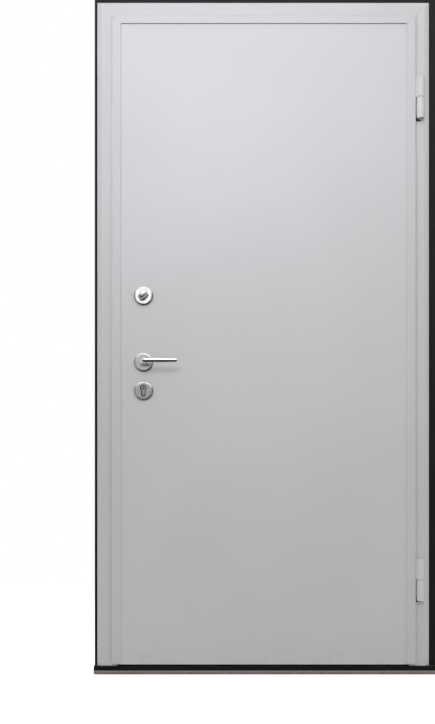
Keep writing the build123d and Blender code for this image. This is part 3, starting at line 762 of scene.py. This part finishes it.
def turn_knob(centre, settings):
    """Thumbturn from its crown down to the end of its stem. Every ring is an oval; over the height its two half
    axes follow the stem, a thin round collar, a waist and a wing, and close over the top as a dome, each axis
    times the square root of one less the square of the height in the dome."""
    high, tilt, collar, stem = settings.knob_high, settings.knob_tilt, settings.collar_radius, settings.stem_radius
    dome = np.sin(np.linspace(0.0, np.pi / 2, settings.rings // 2))[::-1]
    low = np.linspace(1.0, 0.0, settings.rings)
    part = np.concatenate((KNOB_DOME + (1 - KNOB_DOME) * dome[1:-1], KNOB_DOME * low))
    wing = smooth(part, *KNOB_WING)
    waist = 1 - KNOB_WAIST * smooth(part, *KNOB_NARROW)
    cap = np.sqrt(np.clip(1 - np.clip((part - KNOB_DOME) / (1 - KNOB_DOME), 0, 1) ** 2, 0, 1))
    long = (collar * (1 - wing) + settings.knob_long / 2 * wing) * cap
    wide = (collar * waist * (1 - wing) + settings.knob_wide / 2 * wing) * cap
    long, wide = (np.concatenate((half, [collar, stem, stem])) for half in (long, wide))
    height = np.concatenate((KNOB_FOOT + part * (high - KNOB_FOOT), [KNOB_FOOT / 2, KNOB_FOOT / 2, -STEM_DEEP]))
    angle = np.arange(settings.spokes) * 2 * np.pi / settings.spokes
    along = np.array((math.cos(tilt), 0.0, math.sin(tilt)))
    across = np.array((-math.sin(tilt), 0.0, math.cos(tilt)))
    out = np.array((0.0, -1.0, 0.0))
    points = (np.asarray(centre) + (long[:, None] * np.cos(angle))[..., None] * along
              + (wide[:, None] * np.sin(angle))[..., None] * across + height[:, None, None] * out)
    return shell(points, np.asarray(centre) + high * out, np.asarray(centre) - STEM_DEEP * out)


class DOOR_OT_thumbturn(Operator):
    """Shapes the thumbturn with a rounded crown, a waist and a collar"""

    bl_idname = "door.thumbturn"
    bl_label = "Shape the thumbturn"

    def execute(self, context):
        settings = context.scene.door_fittings
        low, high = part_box("thumbturn_knob")
        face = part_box("thumbturn_rosette")[0][1]
        centre = ((low[0] + high[0]) / 2, face, (low[2] + high[2]) / 2)
        knob = make_piece("thumbturn_wing", [turn_knob(centre, settings)], "thumbturn",
                          bpy.data.materials["satin_plating"])
        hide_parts("thumbturn_knob")
        return {"FINISHED"}


class DOOR_OT_plate_screws(Operator):
    """Puts a raised screw at each end of the lock forends and the strike plates"""

    bl_idname = "door.plate_screws"
    bl_label = "Screw the forends and the strikes on"

    def execute(self, context):
        settings = context.scene.door_fittings
        material = bpy.data.materials["zinc_plated_steel"]
        for plate, body, outward in (
            ("main_lock_forend", "leaf", (-1.0, 0.0, 0.0)),
            ("upper_lock_forend", "leaf", (-1.0, 0.0, 0.0)),
            ("main_strike_plate", "frame", (1.0, 0.0, 0.0)),
            ("upper_strike_plate", "frame", (1.0, 0.0, 0.0)),
        ):
            low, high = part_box(plate)
            face = low[0] if outward[0] < 0 else high[0]
            middle = (low[1] + high[1]) / 2
            heads = [screw_head(np.array((face, middle, z)), outward, settings)
                     for z in (low[2] + settings.end_inset, high[2] - settings.end_inset)]
            make_piece(plate + "_screws", heads, body, material)
        return {"FINISHED"}


class DOOR_OT_levers(Operator):
    """Shapes the two levers, whose grip has an upper and a lower flank that meet in a soft ridge"""

    bl_idname = "door.levers"
    bl_label = "Shape the levers"

    def execute(self, context):
        settings = context.scene.door_fittings
        for node, outward in (("lever_inside", -1.0), ("lever_outside", 1.0)):
            low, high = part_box(node)
            grip = make_piece(node + "_grip", [lever_grip(low, high, outward, settings)], "lever",
                              bpy.data.materials["polished_plating"], sharp_from=60.0)
            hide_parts(node)
        return {"FINISHED"}


class DOOR_OT_key_cylinder(Operator):
    """Shapes the key cylinder with its plug and keyway at both ends"""

    bl_idname = "door.key_cylinder"
    bl_label = "Shape the key cylinder"

    def execute(self, context):
        settings = context.scene.door_fittings
        low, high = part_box("lock_cylinder")
        cylinder = make_piece("key_cylinder", [key_cylinder(low, high, settings)], "leaf",
                              bpy.data.materials["oiled_and_shaded_cylinder_steel"])
        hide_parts("lock_cylinder")
        return {"FINISHED"}


class DOOR_OT_stage(Operator):
    """Sets up the camera, the lamps, the white room, the floor and the cards that metal shows"""

    bl_idname = "door.stage"
    bl_label = "Set up the studio"

    def execute(self, context):
        settings = context.scene.door_studio
        scene = context.scene
        scene.view_settings.view_transform = "Standard"
        self.make_camera(scene, settings)
        self.make_lamps(scene, settings)
        self.make_room(scene, settings)
        self.make_floor(settings)
        self.make_cards(settings)
        return {"FINISHED"}

    def make_camera(self, scene, settings):
        """The camera looks level along +Y; the lens shift takes the picture's middle off its axis."""
        camera = bpy.data.cameras.new("camera")
        place = Vector(settings.camera_place)
        centre = Vector(settings.picture_centre)
        away = centre.y - place.y
        camera.sensor_width = SENSOR
        camera.lens = SENSOR * away / settings.picture_height
        camera.shift_x = (centre.x - place.x) / settings.picture_height
        camera.shift_y = (centre.z - place.z) / settings.picture_height
        camera.clip_end = 200.0
        holder = bpy.data.objects.new("camera", camera)
        holder.location = place
        holder.rotation_euler = (math.radians(90.0), 0.0, 0.0)
        scene.collection.objects.link(holder)
        scene.camera = holder

    def make_lamps(self, scene, settings):
        """A large lamp close by on the upper part of the door, one further off on all of it, and one behind it."""
        middle = Vector(settings.picture_centre)
        for name, place, aim, size, power, colour, spread in (
            ("main_lamp", settings.key_place, settings.key_aim, settings.key_size, settings.key_power,
             settings.key_colour, settings.key_spread),
            ("fill_lamp", settings.fill_place, middle, settings.fill_size, settings.fill_power,
             WHITE, math.pi),
            ("back_lamp", settings.back_place, middle, settings.fill_size, settings.back_power,
             WHITE, math.pi),
        ):
            lamp = bpy.data.lights.new(name, "AREA")
            lamp.shape = "RECTANGLE"
            lamp.size, lamp.size_y = size
            lamp.energy = power
            lamp.color = colour
            lamp.spread = spread
            holder = bpy.data.objects.new(name, lamp)
            holder.location = place
            look = Vector(aim) - holder.location
            holder.rotation_euler = look.to_track_quat("-Z", "Y").to_euler()
            holder.visible_camera = False
            holder.visible_glossy = False
            scene.collection.objects.link(holder)

    def seen_rays(self, tree):
        """1 for the rays that show a background: straight from the camera, off metal or through glass."""
        path = tree.nodes.new("ShaderNodeLightPath")
        total = path.outputs["Is Camera Ray"]
        for name in ("Is Glossy Ray", "Is Transmission Ray"):
            node = tree.nodes.new("ShaderNodeMath")
            node.operation = "MAXIMUM"
            tree.links.new(total, node.inputs[0])
            tree.links.new(path.outputs[name], node.inputs[1])
            total = node.outputs[0]
        return total

    def make_room(self, scene, settings):
        """A white room where it is seen, and an even dimmer light where it lights the door."""
        world = bpy.data.worlds.new("white_room")
        world.use_nodes = True
        tree = world.node_tree
        tree.nodes.clear()
        output = tree.nodes.new("ShaderNodeOutputWorld")
        mix = tree.nodes.new("ShaderNodeMixShader")
        light, white = (add_node(tree, "ShaderNodeBackground", Color=(*WHITE, 1.0), Strength=strength)
                        for strength in (settings.room_light, 1.0))
        tree.links.new(self.seen_rays(tree), mix.inputs[0])
        tree.links.new(light.outputs[0], mix.inputs[1])
        tree.links.new(white.outputs[0], mix.inputs[2])
        tree.links.new(mix.outputs[0], output.inputs["Surface"])
        scene.world = world

    def make_cards(self, settings):
        """Cards round the camera, dark to bright, that only glossy surfaces show. Each is a flat grid from one
        corner along two edges."""
        reach, side = settings.side_reach, settings.side_low
        foot, eye, top, high = settings.foot_height, settings.card_low, settings.wall_height, settings.high_low
        wide, along = (2 * CARD_HALF, 0.0, 0.0), (0.0, SIDE_LONG, 0.0)
        dark, pale, grey = settings.floor_shade, settings.far_shade, settings.side_shade
        for name, corner, first, second, shade in (
            ("dark_card", (-1.6, -2.2, 0.002), (3.2, 0.0, 0.0), (0.0, 2.08, 0.0), dark),
            ("wide_card", (-CARD_HALF, CARD_WALL, 0.001), wide, (0.0, 4.08, 0.0), pale),
            ("low_card", (-CARD_HALF, CARD_WALL, foot), wide, (0.0, 0.0, eye - foot), dark),
            ("foot_card", (-CARD_HALF, CARD_WALL, 0.0), wide, (0.0, 0.0, foot), pale),
            ("grey_card", (-CARD_HALF, CARD_WALL, eye), wide, (0.0, 0.0, top - eye), settings.wall_shade),
            ("high_card", (-1.7, CARD_WALL + 0.02, high), (1.5, 0.0, 0.0), (0.0, 0.0, top - high),
             settings.high_shade),
            ("bright_card", (-1.5, -2.4, 3.0), (3.0, 0.0, 0.0), (0.0, 2.2, 0.0), settings.ceiling_shade),
            ("left_card", (-reach, SIDE_START, side), along, (0.0, 0.0, SIDE_TOP - side), grey),
            ("right_card", (reach, SIDE_START, side), along, (0.0, 0.0, SIDE_TOP - side), grey),
            ("left_low_card", (-reach, SIDE_START, 0.0), along, (0.0, 0.0, side), pale),
            ("right_low_card", (reach, SIDE_START, 0.0), along, (0.0, 0.0, side), pale),
        ):
            material = bare_material(name)
            tree = material.node_tree
            glow = add_node(tree, "ShaderNodeEmission", Strength=shade)
            output = tree.nodes.new("ShaderNodeOutputMaterial")
            tree.links.new(glow.outputs[0], output.inputs["Surface"])
            card = flat_sheet(name, corner, first, second, CARD_STEPS, material)
            for ray in ("camera", "diffuse", "transmission", "shadow"):
                setattr(card, "visible_" + ray, False)

    def make_floor(self, settings):
        """A wide flat floor: pale where it takes the door's shadow, and white further out."""
        material = bare_material("pale_floor")
        tree = material.node_tree
        matt = add_node(tree, "ShaderNodeBsdfDiffuse", Color=(*settings.floor_colour, 1.0))
        glow = add_node(tree, "ShaderNodeEmission", Strength=settings.floor_glow)
        white = add_node(tree, "ShaderNodeEmission", Strength=1.0)
        fade = add_node(tree, "ShaderNodeMapRange", From_Min=FLOOR_FADE[0], From_Max=FLOOR_FADE[1])
        fade.interpolation_type = "SMOOTHSTEP"
        output, place, length, near, far, seen = (
            tree.nodes.new("ShaderNode" + kind)
            for kind in ("OutputMaterial", "TexCoord", "VectorMath", "AddShader", "MixShader", "MixShader")
        )
        length.operation = "LENGTH"
        for source, target in (
            (place.outputs["Object"], length.inputs[0]),
            (length.outputs["Value"], fade.inputs["Value"]),
            (matt.outputs[0], near.inputs[0]),
            (glow.outputs[0], near.inputs[1]),
            (fade.outputs[0], far.inputs[0]),
            (near.outputs[0], far.inputs[1]),
            (white.outputs[0], far.inputs[2]),
            (self.seen_rays(tree), seen.inputs[0]),
            (matt.outputs[0], seen.inputs[1]),
            (far.outputs[0], seen.inputs[2]),
            (seen.outputs[0], output.inputs["Surface"]),
        ):
            tree.links.new(source, target)
        flat_sheet("floor", (-FLOOR_HALF, -FLOOR_HALF, 0.0), (2 * FLOOR_HALF, 0.0, 0.0),
                   (0.0, 2 * FLOOR_HALF, 0.0), FLOOR_STEPS, material)


class DOOR_PT_sidebar(Panel):
    """Lists the door's operators and settings"""

    bl_label = "Security Door"
    bl_idname = "DOOR_PT_sidebar"
    bl_space_type = "VIEW_3D"
    bl_region_type = "UI"
    bl_category = "Security Door"

    def draw(self, context):
        for operator in OPERATORS:
            self.layout.operator(operator.bl_idname)
        for name, _ in SETTINGS:
            group = getattr(context.scene, name)
            box = self.layout.box()
            for key in group.__annotations__:
                box.prop(group, key)


OPERATORS = (
    DOOR_OT_pale_paint,
    DOOR_OT_dark_paint,
    DOOR_OT_plating,
    DOOR_OT_plated_steel,
    DOOR_OT_seals,
    DOOR_OT_sill_strip,
    DOOR_OT_thumbturn,
    DOOR_OT_plate_screws,
    DOOR_OT_levers,
    DOOR_OT_key_cylinder,
    DOOR_OT_stage,
)
SETTINGS = (
    ("door_finishes", DoorFinishes),
    ("door_fittings", DoorFittings),
    ("door_studio", DoorStudio),
)


def register():
    for name, group in SETTINGS:
        bpy.utils.register_class(group)
        setattr(bpy.types.Scene, name, PointerProperty(type=group))
    for operator in OPERATORS:
        bpy.utils.register_class(operator)
    bpy.utils.register_class(DOOR_PT_sidebar)


def unregister():
    bpy.utils.unregister_class(DOOR_PT_sidebar)
    for operator in reversed(OPERATORS):
        bpy.utils.unregister_class(operator)
    for name, group in reversed(SETTINGS):
        delattr(bpy.types.Scene, name)
        bpy.utils.unregister_class(group)


def main():
    register()
    bpy.ops.door.pale_paint()
    bpy.ops.door.dark_paint()
    bpy.ops.door.plating()
    bpy.ops.door.plated_steel()
    bpy.ops.door.seals()
    bpy.ops.door.sill_strip()
    bpy.ops.door.thumbturn()
    bpy.ops.door.plate_screws()
    bpy.ops.door.levers()
    bpy.ops.door.key_cylinder()
    bpy.ops.door.stage()


if __name__ == "__main__":
    main()
